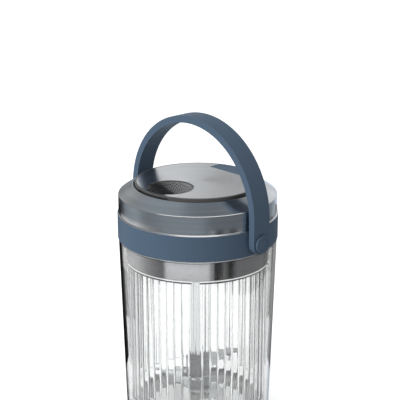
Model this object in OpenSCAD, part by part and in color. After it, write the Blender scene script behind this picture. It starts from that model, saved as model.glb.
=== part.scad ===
// Hand crank blender: a fluted double-walled jar, a steel lid with a geared crank wheel,
// a carry ring with a swinging bail, and a long shaft that turns two blades over the jar floor.
// Origin: centre of the foot on the table. +Z up. The bail turns about a line along X,
// and the finger dimple of the crank wheel points towards -Y at rest. Millimetres.

/* [Jar] */
// Height from the table to the underside of the carry ring
jar_h = 112; // [95:1:150]
// Radius of the mouth and of the smooth bore of the liner
bore_r = 36.9; // [36:0.1:39]
// Wall of the fluted liner, measured at its pillars
liner_wall = 3.1; // [2.8:0.1:3.4]
// Thickness of the liner floor
liner_floor = 3; // [2:0.5:4]
// Wall of the neck that stands up inside the carry ring
neck_wall = 4.3; // [4.2:0.1:5]
// Height of the neck above the jar
neck_h = 9.4; // [9:0.1:10]
// Wall of the clear outer shell
shell_wall = 2.1; // [1.6:0.1:2.1]
// How much the radius of the outer shell shrinks from top to bottom
taper_w = 2.8; // [1:0.1:2.8]

/* [Flutes] */
// Number of flat pillars between the fluted panels
pillars = 5; // [3:1:6]
// Width of a pillar, in degrees around the liner
pillar_angle = 10; // [6:1:16]
// Flutes in each panel
flutes = 10; // [6:1:12]
// Depth of the panels below the pillars
panel_depth = 0.9; // [0.6:0.1:1]
// How far each flute bulges out of its panel
flute_h = 0.6; // [0.2:0.1:0.6]
// Height of the plain base of the liner below the panels
panel_rise = 10; // [6:1:20]
// Height of the steel collar round the top of the liner
collar_h = 12.9; // [8:0.1:20]
// Thickness of that collar
collar_t = 0.8; // [0.4:0.1:1]

/* [Foot] */
// Height of the rubber foot ring
foot_h = 7; // [5:0.5:10]
// Thickness of the foot ring under the jar
foot_t = 2; // [1.5:0.1:2.5]
// Thickness of the foot ring round the jar
foot_side_t = 1.4; // [1:0.1:1.6]
// Width of the pad that the foot ring has under the jar
foot_pad_w = 11; // [6:1:15]

/* [Carry ring] */
// Height of the carry ring
ring_h = 14; // [13.5:0.1:18]
// Wall of the carry ring
ring_wall = 3; // [2.6:0.1:4]
// How far the ring stands proud of the shell below it
ring_step = 0.5; // [0.3:0.1:1]
// Height of the handle pivot above the underside of the ring
pivot_z = 7; // [6:0.5:7.5]
// Depth of the bayonet lugs
lug_depth = 1.1; // [0.8:0.1:1.4]
// Height of a bayonet lug
lug_h = 2.8; // [2:0.1:3]
// Width of a bayonet lug, in degrees
lug_angle = 36; // [20:1:40]

/* [Handle] */
// Width of the handle band
band_w = 12; // [8:0.5:13]
// Thickness of the handle band
band_t = 4; // [3:0.1:5]
// Straight part of each leg above the pivot
leg_h = 12.5; // [8:0.5:30]
// Radius of the round head of a pivot pin
pin_head_r = 5; // [3.5:0.1:5.5]
// Thickness of that head
pin_head_t = 1.2; // [0.8:0.1:2]
// Radius of the pin where the handle turns on it
pin_r = 2.5; // [2.2:0.1:3]

/* [Lid shell] */
// Height of the upright wall above the ring
wall_h = 11.3; // [10:0.1:16]
// Height of the sloping shoulder
shoulder_h = 5.3; // [4.8:0.1:7]
// Thickness of the steel sheet
sheet_t = 1.2; // [0.8:0.1:1.4]
// How far the lid wall is set back from the carry ring
lid_setback = 0.6; // [0.4:0.1:1]

/* [Crank wheel] */
// Radius of the crank wheel
wheel_r = 35.6; // [35:0.1:37]
// How far the wheel stands above the shoulder
wheel_proud = 1.6; // [1:0.1:2]
// Thickness of the plastic body of the wheel
wheel_t = 3.3; // [3:0.1:4]
// Thickness of the steel facing on the wheel
facing_t = 0.5; // [0.3:0.1:0.6]
// Radius of the finger dimple
dimple_r = 13.2; // [11:0.1:13.5]
// Depth of the finger dimple
dimple_depth = 6.5; // [5:0.1:7]
// Steel left between the dimple and the rim of the wheel
dimple_edge_w = 1.4; // [0.9:0.1:2.4]
// Thickness of the grip pad in the dimple
pad_t = 1; // [0.6:0.1:1.2]
// Width of the thumb notch in the rim of the facing, in front of the dimple
notch_w = 24; // [16:1:28]
// Radius of the round stem under the wheel
stem_r = 6.95; // [6.5:0.05:7]

/* [Crank flap] */
// Width of the fold-up crank flap
flap_w = 28.8; // [20:0.2:30]
// Thickness of the flap
flap_t = 2.2; // [2:0.1:2.2]
// Length of the flap from its hinge to the rim of the wheel
flap_len = 11.8; // [9.6:0.1:12.6]
// Radius of the hinge barrel of the flap
barrel_r = 1.2; // [1.1:0.1:1.2]
// Radius of the hinge wire of the flap
wire_r = 0.6; // [0.4:0.05:0.65]

/* [Gears] */
// Pitch radius of the internal ring gear
ring_pitch_r = 27; // [26:0.5:27]
// Teeth on the sun gear, a multiple of three
sun_teeth = 12; // [12:3:15]
// Teeth on each planet gear, an odd multiple of three
planet_teeth = 21; // [15:6:21]
// Pressure angle of the teeth in degrees
pressure_angle = 25; // [24:1:26]
// Clearance between meshing flanks
backlash = 0.2; // [0.16:0.02:0.3]
// Width of the gear faces
gear_w = 7; // [5:0.5:7]
// Radius of the planet axles
axle_r = 2; // [1.5:0.1:2.5]
// Thickness of the planet carrier
carrier_t = 3; // [2.6:0.1:3.2]

/* [Shaft and blades] */
// Radius of the drive shaft
shaft_r = 3; // [2.5:0.1:3.2]
// Radius swept by the blades
blade_r = 29; // [20:1:33]
// Thickness of a blade
blade_t = 1.2; // [0.8:0.1:2]
// Clear height between the lower and the upper blade
blade_gap = 7; // [4:0.5:12]
// Upward lean of the upper wings, in degrees
upper_lean = 24; // [0:1:40]
// Downward lean of the lower wings, in degrees
lower_lean = 6; // [0:1:8]
// Length of the blade hub
hub_h = 10; // [6:1:16]

/* [Hidden] */
$fn = 96;

// Colours
clear = [0.86, 0.90, 0.92, 0.45];
slate = "#57697f";
slate_rubber = "#4d5d70";
steel = "#b4b6ba";
dark_plastic = "#35383c";
grey_plastic = "#8d9196";
white_plastic = "#e6e4de";
grip_rubber = "#26272a";
bronze = "#b08848";
silicone = "#d8dadc";

// Clearances
overrun = 1;            // how far a cut runs past the face that it opens
fit_gap = 0.3;          // between parts that pass each other
turn_gap = 0.2;         // between faces that turn on each other
running_gap = 0.05;     // radial, between a shaft and its bush
rest_gap = 0.15;        // between the carry ring and the jar below it

// Radii that follow from the mouth outwards
liner_r = bore_r + liner_wall;
neck_r = bore_r + neck_wall;
lug_r = neck_r + lug_depth;
ring_bore_r = lug_r + fit_gap;
ring_r = ring_bore_r + ring_wall;
jar_top_r = ring_r - ring_step;
jar_bottom_r = jar_top_r - taper_w;
lid_r = ring_r - lid_setback;

// Jar
weld_h = 1.5;           // height of the flange that joins the liner to the shell
foot_seat_r = jar_bottom_r - foot_side_t;
foot_chamfer = 1;
shell_floor_z = foot_t;
shell_floor_t = 2;
air_gap = 2;            // between the two floors
liner_z = shell_floor_z + shell_floor_t + air_gap;
floor_z = liner_z + liner_floor;
corner_r = 5;           // inside corner of the liner floor
corner_out_r = corner_r + liner_wall - panel_depth;
arc_steps = 6;
panel_top_z = jar_h - collar_h;
panel_bottom_z = liner_z + panel_rise;
pillar_step = 0.1;      // the plain ends of the liner stand this far proud of the pillars
pillar_r = liner_r - pillar_step;
panel_r = liner_r - panel_depth;
sector = 360 / pillars;
flute_angle = (sector - pillar_angle) / flutes;
flute_steps = 4;
pillar_phase = -45;     // one pillar faces between -Y and +X
bead_w = 0.4;           // the rolled bead at the foot of the collar
bead_h = 1;
bead_break_h = 1.6;     // height of the gap in the bead at each pillar
bead_break_share = 0.6; // part of the pillar's width that the gap takes

// Foot bearing
bearing_r = 6;
bearing_h = 3.6;
spigot_r = 4;
spigot_h = 1.5;
tip_r = 2;
bearing_seat = 1.6;     // thickness of the bearing under the tip of the shaft
tip_z = floor_z + bearing_seat;

// Lid, heights above the underside of the carry ring
ring_z = jar_h + rest_gap;
gasket_t = 1;
flange_t = 0.8;
flange_z = neck_h - rest_gap + gasket_t;         // underside of the plug flange
deck_z = flange_z + flange_t;                     // underside of the deck of the ring
ring_lug_z = 1.2;
neck_lug_z = ring_lug_z + lug_h + fit_gap;
lug_count = 4;
stop_angle = 3;         // width of the stop at the closed end of each neck lug
stop_play = 0.5;        // degrees between a ring lug and its stop when the lid is locked
shoulder_z = ring_h + wall_h;
lip_z = shoulder_z + shoulder_h;
lip_h = 2.6;
shell_round = 1;        // rounding between the wall and the shoulder
rim_gap = 0.4;
opening_r = wheel_r + rim_gap;
plate_t = 3.2;
plate_r = lid_r - sheet_t - turn_gap;
plate_hub_r = 14;
plate_hub_h = 2.3;
crimp_w = 0.5;          // inward bead that holds the plate in the shell
crimp_h = 0.8;

// Crank wheel, heights above the underside of the carry ring
wheel_top = lip_z + wheel_proud;
body_top = wheel_top - facing_t;
body_z = body_top - wheel_t;
facing_skirt = 2.2;
notch_lip = 0.9;        // height of the steel left above the thumb notch
dimple_y = wheel_r - dimple_edge_w - dimple_r;
dimple_ball_r = (dimple_r * dimple_r + dimple_depth * dimple_depth) / (2 * dimple_depth);
dimple_ball_z = wheel_top - dimple_depth + dimple_ball_r;
bowl_wall = 1.2;
stem_collar_r = 9.5;
hex_r = 5;
hex_h = 1.5;

// Crank flap
flap_y = wheel_r - flap_len;
flap_axis_y = flap_y + barrel_r;
flap_axis_z = wheel_top - barrel_r;
flap_setback = 0.1;
flap_r = wheel_r - flap_setback;
pocket_gap = 0.2;
pocket_w = flap_w + 2 * pocket_gap;
pocket_z = wheel_top - flap_t - 2 * pocket_gap;
wire_grip = 3;          // how far the wire reaches into the wheel at each end

// Bush of the crank
bush_t = 1.5;
bush_bore_r = stem_r + running_gap;
bush_r = bush_bore_r + bush_t;
bush_flange_w = 2.5;
bush_flange_r = bush_r + bush_flange_w;
bush_flange_t = 1;
bush_top = ring_h + plate_t + plate_hub_h + bush_flange_t;

// Gears and the plug cup around them
ring_teeth = sun_teeth + 2 * planet_teeth;
gear_module = 2 * ring_pitch_r / ring_teeth;
planet_orbit = gear_module * (sun_teeth + planet_teeth) / 2;
addendum_share = 0.9;
dedendum_share = 1.15;
addendum = addendum_share * gear_module;
dedendum = dedendum_share * gear_module;
flank_steps = 4;
gear_rim = 2.15;
ring_gear_r = gear_module * ring_teeth / 2 + dedendum + gear_rim;
deck_grip = 0.8;        // how far the deck reaches over the rim of the ring gear
deck_bore_r = ring_gear_r - deck_grip;
planets = 3;
cup_gap = 0.7;
cup_r = bore_r - cup_gap;
cup_wall = 2.2;
cup_floor_z = -2;
cup_floor_t = 2.4;
cup_floor_top = cup_floor_z + cup_floor_t;
gear_rise = 1.6;
gear_z = cup_floor_top + gear_rise;               // underside of the planet and sun gears
axle_head_t = 0.8;
axle_head_w = 1.2;
carrier_z = gear_z + gear_w + turn_gap;
carrier_top = carrier_z + carrier_t;
carrier_edge = 2.5;
carrier_r = planet_orbit + axle_r + carrier_edge;
carrier_web = 0.6;      // between the hex pocket and the recess of the screw head
washer_gap = 0.1;
boss_r = 2.3;
rim_t = 1.3;            // upright rim that centres the ring gear
rim_h = 4;
key_w = 4;
key_depth = 0.8;
key_phase = 30;         // clear of the screw bosses
cup_boss_r = 8;
cup_boss_h = 7.6;
seal_r = 6;
seal_h = 3.4;
bush_wall = 2;
screw_r = 1;
screw_head_r = 2;
screw_head_h = 1.6;
screw_reach = 6;        // how deep the screws bite into the plug cup
boss_orbit = cup_r - cup_wall - screw_r - turn_gap;
carrier_screw_r = 1.5;
carrier_head_r = 3;
carrier_screw_l = 10;

// Drive shaft, its clip and its blades, heights above the table
shaft_top = ring_z + gear_z + gear_w;
seal_gap = 0.08;
clip_t = 0.8;
clip_r = 5;
clip_depth = 0.5;
clip_z = ring_z + cup_floor_z - cup_boss_h - clip_t - turn_gap;
nut_r = 5;
nut_h = 3;
nut_gap = 0.9;          // between the foot bearing and the nut
nut_z = floor_z + bearing_h + nut_gap;
lower_blade_z = nut_z + nut_h;
upper_blade_z = lower_blade_z + blade_t + blade_gap;
hub_z = upper_blade_z + blade_t;
hub_r = 7;
spacer_r = 6.5;
blade_eye_r = 8;
wing_root = hub_r + turn_gap;
// The two arcs that bound a wing, as shares of blade_r: centre x, centre y, radius
front_arc_shares = [0.28, -0.48, 0.74];
back_arc_shares = [0.34, -0.97, 0.88];

// Handle
handle_gap = 0.4;
leg_in = ring_r + handle_gap;
leg_out = leg_in + band_t;
arch_z = pivot_z + leg_h;
pin_tail_r = 2;
pin_dish_r = 3.8;
pin_dish_depth = 0.4;

// Points of an arc from angle a to angle b about [cx, cz]
function arc_points(cx, cz, r, a, b, steps = arc_steps) =
    [for (i = [0:steps]) let (t = a + (b - a) * i / steps) [cx + r * cos(t), cz + r * sin(t)]];

function polar(r, a) = [r * cos(a), r * sin(a)];

// Angle in degrees by which an involute has turned at radius r, for base radius rb
function involute_turn(r, rb) =
    let (t = sqrt(max(0, r * r / (rb * rb) - 1))) t * 180 / PI - atan(t);

// One gear outline. A tooth is centred on the X axis. widen is added to each tooth at the pitch circle
function gear_points(teeth, tip, root, widen) =
    let (rp = gear_module * teeth / 2,
         rb = rp * cos(pressure_angle),
         half = 90 / teeth + (widen / 2) / rp * 180 / PI + involute_turn(rp, rb),
         start = max(root, rb))
    [for (k = [0:teeth - 1]) let (mid = 360 * k / teeth)
        each concat(
            [polar(root, mid - half + involute_turn(start, rb))],
            [for (i = [0:flank_steps])
                let (r = start + (tip - start) * i / flank_steps)
                polar(r, mid - half + involute_turn(r, rb))],
            [for (i = [flank_steps:-1:0])
                let (r = start + (tip - start) * i / flank_steps)
                polar(r, mid + half - involute_turn(r, rb))],
            [polar(root, mid + half - involute_turn(start, rb))])];

module tube(r_out, r_in, z, h) {
    translate([0, 0, z]) difference() {
        cylinder(r = r_out, h = h);
        translate([0, 0, -overrun]) cylinder(r = r_in, h = h + 2 * overrun);
    }
}

// A ring sector between two radii, centred on angle a
module sector_block(r_out, r_in, z, h, a, width) {
    rotate([0, 0, a - width / 2]) translate([0, 0, z])
        rotate_extrude(angle = width) translate([r_in, 0]) square([r_out - r_in, h]);
}

// Outer radius of the shell at height z
function shell_r(z) = jar_bottom_r + taper_w * z / jar_h;

module outer_shell() {
    color(clear) rotate_extrude() polygon([
        [0, shell_floor_z], [foot_seat_r, shell_floor_z], [foot_seat_r, foot_h],
        [shell_r(foot_h), foot_h], [jar_top_r, jar_h],
        [ring_bore_r, jar_h], [ring_bore_r, jar_h - weld_h],
        [jar_top_r - shell_wall, jar_h - 2 * weld_h],
        [shell_r(foot_h + shell_wall) - shell_wall, foot_h + shell_wall],
        [foot_seat_r - shell_wall, foot_h - shell_wall],
        [foot_seat_r - shell_wall, shell_floor_z + shell_floor_t],
        [0, shell_floor_z + shell_floor_t]]);
}

// Outline of the fluted stretch: pillars at full radius, panels of round flutes between them
function flute_outline() =
    [for (p = [0:pillars - 1]) let (mid = pillar_phase + sector * p)
        each concat(
            [for (i = [-1:1]) polar(pillar_r, mid + i * pillar_angle / 2)],
            [for (f = [0:flutes - 1]) for (s = [0:flute_steps - (f == flutes - 1 ? 0 : 1)])
                polar(panel_r + flute_h * sin(180 * s / flute_steps) - flute_h / 2,
                      mid + pillar_angle / 2 + (f + s / flute_steps) * flute_angle)])];

// A lug on the neck, centred on angle a, with its stop hanging down at the closed end
module neck_lug(a) {
    sector_block(lug_r, neck_r - overrun, ring_z + neck_lug_z, lug_h,
                 a - (stop_angle + stop_play) / 2, lug_angle + stop_angle + stop_play);
    sector_block(lug_r, neck_r - overrun, ring_z + ring_lug_z, neck_lug_z - ring_lug_z + lug_h / 2,
                 a - (lug_angle + stop_angle) / 2 - stop_play, stop_angle);
}

module inner_liner() {
    color(clear) difference() {
        union() {
            rotate_extrude() polygon(concat(
                [[0, liner_z]],
                arc_points(liner_r - corner_out_r, liner_z + corner_out_r, corner_out_r, -90, 0),
                [[liner_r, panel_bottom_z], [0, panel_bottom_z]]));
            translate([0, 0, panel_bottom_z])
                linear_extrude(panel_top_z - panel_bottom_z) polygon(flute_outline());
            translate([0, 0, panel_top_z]) cylinder(r = liner_r, h = collar_h);
            translate([0, 0, jar_h - weld_h]) cylinder(r = ring_bore_r, h = weld_h);
            translate([0, 0, jar_h]) cylinder(r = neck_r, h = neck_h);
            for (i = [0:lug_count - 1])
                neck_lug(360 * i / lug_count);
        }
        rotate_extrude() polygon(concat(
            [[0, floor_z]],
            arc_points(bore_r - corner_r, floor_z + corner_r, corner_r, -90, 0),
            [[bore_r, jar_h + neck_h + overrun], [0, jar_h + neck_h + overrun]]));
        translate([0, 0, floor_z - spigot_h]) cylinder(r = spigot_r, h = spigot_h + overrun);
    }
}

module neck_collar() {
    band_r = liner_r + collar_t;
    color(steel) difference() {
        rotate_extrude() polygon([
            [liner_r, panel_top_z], [band_r + bead_w, panel_top_z],
            [band_r + bead_w, panel_top_z + bead_h], [band_r, panel_top_z + bead_h],
            [band_r, jar_h - weld_h], [liner_r, jar_h - weld_h]]);
        for (p = [0:pillars - 1])
            sector_block(band_r + bead_w + overrun, liner_r - overrun,
                         panel_top_z - overrun, bead_break_h + overrun,
                         pillar_phase + sector * p, pillar_angle * bead_break_share);
    }
}

module foot_ring() {
    color(slate_rubber) rotate_extrude() polygon([
        [foot_seat_r - foot_pad_w, 0], [jar_bottom_r - foot_chamfer, 0],
        [jar_bottom_r, foot_chamfer], [shell_r(foot_h), foot_h],
        [foot_seat_r, foot_h], [foot_seat_r, foot_t], [foot_seat_r - foot_pad_w, foot_t]]);
}

module foot_bearing() {
    color(white_plastic) difference() {
        union() {
            translate([0, 0, floor_z - spigot_h]) cylinder(r = spigot_r, h = spigot_h);
            translate([0, 0, floor_z]) cylinder(r = bearing_r, h = bearing_h);
        }
        translate([0, 0, tip_z - turn_gap])
            cylinder(r = tip_r + running_gap, h = bearing_h + overrun);
    }
}

module lid_gasket() {
    color(silicone) tube(neck_r - fit_gap, bore_r + fit_gap, jar_h + neck_h, gasket_t);
}

// Round hole along X through the wall of the ring, at the handle pivot
module pivot_bore(r, from, to) {
    translate([from, 0, ring_z + pivot_z]) rotate([0, 90, 0]) cylinder(r = r, h = to - from);
}

module carry_ring() {
    color(slate) difference() {
        union() {
            tube(ring_r, ring_bore_r, ring_z, ring_h);
            tube(ring_bore_r + overrun, deck_bore_r, ring_z + deck_z, ring_h - deck_z);
            for (i = [0:lug_count - 1])
                sector_block(ring_bore_r + overrun, neck_r + fit_gap, ring_z + ring_lug_z, lug_h,
                             360 * (i + 0.5) / lug_count, lug_angle);
        }
        for (side = [0, 180]) rotate([0, 0, side])
            pivot_bore(pin_tail_r, ring_bore_r - overrun, ring_r + overrun);
        screw_places() translate([0, 0, ring_z + deck_z - overrun])
            cylinder(r = screw_r + turn_gap, h = ring_h);
    }
}

// The shell is spun from one sheet: wall, rounded edge, shoulder and a turned-down lip
module lid_shell() {
    slope = atan(shoulder_h / (lid_r - opening_r - sheet_t));
    round_turn = 90 - slope;
    color(steel) rotate_extrude() polygon(concat(
        [[lid_r, ring_z + ring_h]],
        arc_points(lid_r - shell_round, ring_z + shoulder_z - shell_round * tan(round_turn / 2),
                   shell_round, 0, round_turn),
        [[opening_r + sheet_t, ring_z + lip_z], [opening_r, ring_z + lip_z],
         [opening_r, ring_z + lip_z - lip_h], [opening_r + sheet_t, ring_z + lip_z - lip_h],
         [opening_r + sheet_t, ring_z + lip_z - sheet_t / cos(slope)],
         [lid_r - sheet_t, ring_z + shoulder_z - sheet_t * tan(round_turn / 2)],
         [lid_r - sheet_t, ring_z + ring_h + plate_t + turn_gap + crimp_h],
         [plate_r - crimp_w, ring_z + ring_h + plate_t + turn_gap],
         [lid_r - sheet_t, ring_z + ring_h + plate_t + turn_gap],
         [lid_r - sheet_t, ring_z + ring_h]]));
}

module screw_places() {
    for (i = [0:2]) rotate([0, 0, 60 + 120 * i]) translate([boss_orbit, 0, 0]) children();
}

module bearing_plate() {
    color(grey_plastic) translate([0, 0, ring_z + ring_h]) difference() {
        union() {
            cylinder(r = plate_r, h = plate_t);
            cylinder(r = plate_hub_r, h = plate_t + plate_hub_h);
        }
        translate([0, 0, -overrun]) cylinder(r = bush_r, h = ring_h);
        screw_places() {
            translate([0, 0, -overrun]) cylinder(r = screw_r + turn_gap, h = ring_h);
            translate([0, 0, plate_t - screw_head_h]) cylinder(r = screw_head_r + turn_gap, h = ring_h);
        }
    }
}

module crank_bush() {
    color(bronze) {
        tube(bush_r, bush_bore_r, ring_z + ring_h, plate_t + plate_hub_h);
        tube(bush_flange_r, bush_bore_r, ring_z + bush_top - bush_flange_t, bush_flange_t);
    }
}

// One turned profile: the boss for the shaft, the floor, the rim round the ring gear, wall and flange
module plug_cup() {
    boss_z = cup_floor_z - cup_boss_h;
    rim_r = ring_gear_r + turn_gap / 2;
    inner_r = cup_r - cup_wall;
    color(grey_plastic) translate([0, 0, ring_z]) difference() {
        union() {
            rotate_extrude() polygon([
                [seal_r, boss_z], [cup_boss_r, boss_z], [cup_boss_r, cup_floor_z],
                [cup_r, cup_floor_z], [cup_r, flange_z], [neck_r + fit_gap / 2, flange_z],
                [neck_r + fit_gap / 2, deck_z], [inner_r, deck_z], [inner_r, cup_floor_top],
                [rim_r + rim_t, cup_floor_top], [rim_r + rim_t, cup_floor_top + rim_h],
                [rim_r, cup_floor_top + rim_h], [rim_r, cup_floor_top],
                [shaft_r + bush_wall, cup_floor_top], [shaft_r + bush_wall, boss_z + seal_h],
                [seal_r, boss_z + seal_h]]);
            screw_places() translate([0, 0, cup_floor_top - overrun])
                cylinder(r = boss_r, h = deck_z - turn_gap - cup_floor_top + overrun);
        }
        screw_places() translate([0, 0, deck_z - screw_reach]) cylinder(r = screw_r, h = ring_h);
        for (i = [0:2]) rotate([0, 0, key_phase + 120 * i])
            translate([ring_gear_r - key_depth, -key_w / 2 - turn_gap / 2, cup_floor_top - turn_gap])
                cube([2 * key_depth + turn_gap, key_w + turn_gap, rim_h + overrun]);
    }
}

module ring_gear() {
    color(white_plastic) translate([0, 0, ring_z + cup_floor_top]) {
        height = deck_z - cup_floor_top;
        difference() {
            union() {
                cylinder(r = ring_gear_r, h = height);
                for (i = [0:2]) rotate([0, 0, key_phase + 120 * i])
                    translate([ring_gear_r - key_depth, -key_w / 2, 0])
                        cube([2 * key_depth, key_w, rim_h]);
            }
            translate([0, 0, -overrun]) linear_extrude(height + 2 * overrun)
                polygon(gear_points(ring_teeth, gear_module * ring_teeth / 2 + dedendum,
                                    gear_module * ring_teeth / 2 - addendum, backlash / 2));
        }
    }
}

module shaft_bush() {
    color(bronze) tube(shaft_r + bush_wall, shaft_r + running_gap,
                       ring_z + cup_floor_z - cup_boss_h + seal_h,
                       cup_boss_h + cup_floor_t - seal_h);
}

module shaft_seal() {
    color(grip_rubber) tube(seal_r, shaft_r + seal_gap, ring_z + cup_floor_z - cup_boss_h, seal_h);
}

module plate_screws() {
    color(steel) screw_places() {
        translate([0, 0, ring_z + ring_h + plate_t - screw_head_h])
            cylinder(r = screw_head_r, h = screw_head_h);
        translate([0, 0, ring_z + deck_z - screw_reach])
            cylinder(r = screw_r, h = screw_reach + ring_h - deck_z + plate_t - screw_head_h);
    }
}

module handle_pins() {
    color(slate) for (side = [0, 180]) rotate([0, 0, side]) difference() {
        union() {
            pivot_bore(pin_tail_r, ring_bore_r + fit_gap, ring_r);
            pivot_bore(pin_r, ring_r, leg_out + turn_gap);
            pivot_bore(pin_head_r, leg_out + turn_gap, leg_out + turn_gap + pin_head_t);
        }
        pivot_bore(pin_dish_r, leg_out + turn_gap + pin_head_t - pin_dish_depth,
                   leg_out + pin_head_t + overrun);
    }
}

module carry_handle() {
    color(slate) translate([0, 0, ring_z]) difference() {
        union() {
            translate([0, 0, arch_z]) rotate([90, 0, 0]) difference() {
                cylinder(r = leg_out, h = band_w, center = true);
                cylinder(r = leg_in, h = band_w + 2 * overrun, center = true);
                translate([-leg_out - overrun, -leg_out - overrun, -band_w])
                    cube([2 * (leg_out + overrun), leg_out + overrun, 2 * band_w]);
            }
            for (side = [0, 180]) rotate([0, 0, side]) {
                translate([leg_in, -band_w / 2, pivot_z]) cube([band_t, band_w, leg_h]);
                translate([leg_in, 0, pivot_z]) rotate([0, 90, 0])
                    cylinder(r = band_w / 2, h = band_t);
            }
        }
        for (side = [0, 180]) rotate([0, 0, side]) translate([leg_in - overrun, 0, pivot_z])
            rotate([0, 90, 0]) cylinder(r = pin_r + running_gap, h = band_t + 2 * overrun);
    }
}

// The notch that the flap lies in, cut from the facing and the wheel
module flap_notch(z, h) {
    translate([-pocket_w / 2, flap_y - pocket_gap, z]) cube([pocket_w, wheel_r, h]);
}

module crank_facing() {
    color(steel) translate([0, 0, ring_z]) difference() {
        translate([0, 0, wheel_top - facing_skirt]) cylinder(r = wheel_r, h = facing_skirt);
        translate([0, 0, wheel_top - facing_skirt - overrun])
            cylinder(r = wheel_r - facing_t, h = facing_skirt + overrun - facing_t);
        translate([0, -dimple_y, body_top - overrun])
            cylinder(r = dimple_r, h = facing_t + 2 * overrun);
        flap_notch(wheel_top - facing_skirt - overrun, facing_skirt + 2 * overrun);
        translate([-notch_w / 2, -wheel_r - overrun, wheel_top - facing_skirt - overrun])
            cube([notch_w, wheel_r, facing_skirt + overrun - notch_lip]);
    }
}

// The pocket of the grip pad: a ball that a round hole cuts off at the rim of the dimple
module dimple_pocket() {
    intersection() {
        translate([0, -dimple_y, dimple_ball_z]) sphere(r = dimple_ball_r + pad_t);
        translate([0, -dimple_y, 0]) cylinder(r = dimple_r, h = wheel_top + overrun);
    }
}

module crank_wheel() {
    stem_bottom = carrier_top - hex_h;
    color(dark_plastic) translate([0, 0, ring_z]) difference() {
        union() {
            translate([0, 0, body_z]) cylinder(r = wheel_r - facing_t, h = wheel_t);
            translate([0, 0, bush_top + washer_gap])
                cylinder(r = stem_collar_r, h = body_z - bush_top);
            translate([0, 0, carrier_top]) cylinder(r = stem_r, h = body_z - carrier_top);
            translate([0, 0, stem_bottom]) cylinder(r = hex_r, h = hex_h + overrun, $fn = 6);
            intersection() {
                translate([0, -dimple_y, dimple_ball_z])
                    sphere(r = dimple_ball_r + pad_t + bowl_wall);
                cylinder(r = wheel_r - facing_t, h = body_top);
            }
        }
        dimple_pocket();
        flap_notch(pocket_z, flap_t + overrun);
        translate([-pocket_w / 2 - wire_grip, flap_axis_y, flap_axis_z]) rotate([0, 90, 0])
            cylinder(r = wire_r, h = pocket_w + 2 * wire_grip);
        translate([0, 0, stem_bottom - overrun])
            cylinder(r = carrier_screw_r, h = carrier_screw_l);
    }
}

module grip_pad() {
    color(grip_rubber) translate([0, 0, ring_z]) intersection() {
        difference() {
            dimple_pocket();
            translate([0, -dimple_y, dimple_ball_z]) sphere(r = dimple_ball_r);
        }
        cylinder(r = wheel_r, h = body_top);
    }
}

module planet_places() {
    for (i = [0:planets - 1]) rotate([0, 0, 360 * i / planets])
        translate([planet_orbit, 0, 0]) children();
}

module planet_carrier() {
    color(grey_plastic) translate([0, 0, ring_z]) difference() {
        translate([0, 0, carrier_z]) cylinder(r = carrier_r, h = carrier_t);
        translate([0, 0, carrier_top - hex_h]) cylinder(r = hex_r, h = hex_h + overrun, $fn = 6);
        translate([0, 0, carrier_z - overrun])
            cylinder(r = carrier_screw_r, h = carrier_t + 2 * overrun);
        translate([0, 0, carrier_z - overrun])
            cylinder(r = carrier_head_r, h = carrier_t - hex_h - carrier_web + overrun);
        planet_places() translate([0, 0, carrier_z - overrun])
            cylinder(r = axle_r, h = carrier_t + 2 * overrun);
    }
}

module planet_axles() {
    color(steel) planet_places() translate([0, 0, ring_z + gear_z - turn_gap]) {
        cylinder(r = axle_r, h = carrier_top - gear_z + turn_gap);
        translate([0, 0, -axle_head_t]) cylinder(r = axle_r + axle_head_w, h = axle_head_t);
    }
}

module carrier_screw() {
    head_h = carrier_t - hex_h - carrier_web;
    color(steel) translate([0, 0, ring_z + carrier_z]) {
        cylinder(r = carrier_head_r - turn_gap, h = head_h);
        cylinder(r = carrier_screw_r, h = carrier_screw_l - overrun);
    }
}

module carrier_washer() {
    color(bronze) tube(bush_flange_r, bush_bore_r, ring_z + carrier_top,
                       ring_h - carrier_top - washer_gap);
}

module flap_wire() {
    color(steel) translate([-pocket_w / 2 - wire_grip, flap_axis_y, ring_z + flap_axis_z])
        rotate([0, 90, 0]) cylinder(r = wire_r, h = pocket_w + 2 * wire_grip);
}

module crank_flap() {
    color(slate) translate([0, 0, ring_z]) difference() {
        intersection() {
            translate([-flap_w / 2, 0, 0]) rotate([90, 0, 90]) linear_extrude(flap_w) {
                translate([flap_axis_y, flap_axis_z]) circle(r = barrel_r);
                translate([flap_axis_y, wheel_top - flap_t]) square([wheel_r, flap_t]);
            }
            cylinder(r = flap_r, h = wheel_top + overrun);
        }
        translate([-flap_w, flap_axis_y, flap_axis_z]) rotate([0, 90, 0])
            cylinder(r = wire_r + running_gap, h = 2 * flap_w);
    }
}

module planet_gear(i) {
    color(white_plastic) rotate([0, 0, 360 * i / planets])
        translate([planet_orbit, 0, ring_z + gear_z]) linear_extrude(gear_w) difference() {
            polygon(gear_points(planet_teeth, gear_module * planet_teeth / 2 + addendum,
                                gear_module * planet_teeth / 2 - dedendum, -backlash / 2));
            circle(r = axle_r + running_gap);
        }
}

module drive_shaft() {
    color(steel) difference() {
        union() {
            translate([0, 0, nut_z - turn_gap]) cylinder(r = shaft_r, h = shaft_top - nut_z + turn_gap);
            translate([0, 0, tip_z]) cylinder(r = tip_r, h = nut_z - tip_z);
        }
        tube(shaft_r + overrun, shaft_r - clip_depth, clip_z, clip_t);
    }
}

module sun_gear() {
    color(white_plastic) translate([0, 0, ring_z + gear_z]) linear_extrude(gear_w) difference() {
        polygon(gear_points(sun_teeth, gear_module * sun_teeth / 2 + addendum,
                            gear_module * sun_teeth / 2 - dedendum, -backlash / 2));
        circle(r = shaft_r);
    }
}

module thrust_washer() {
    color(bronze) tube(shaft_r + bush_wall, shaft_r, ring_z + cup_floor_top + washer_gap,
                       gear_z - cup_floor_top - washer_gap);
}

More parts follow.
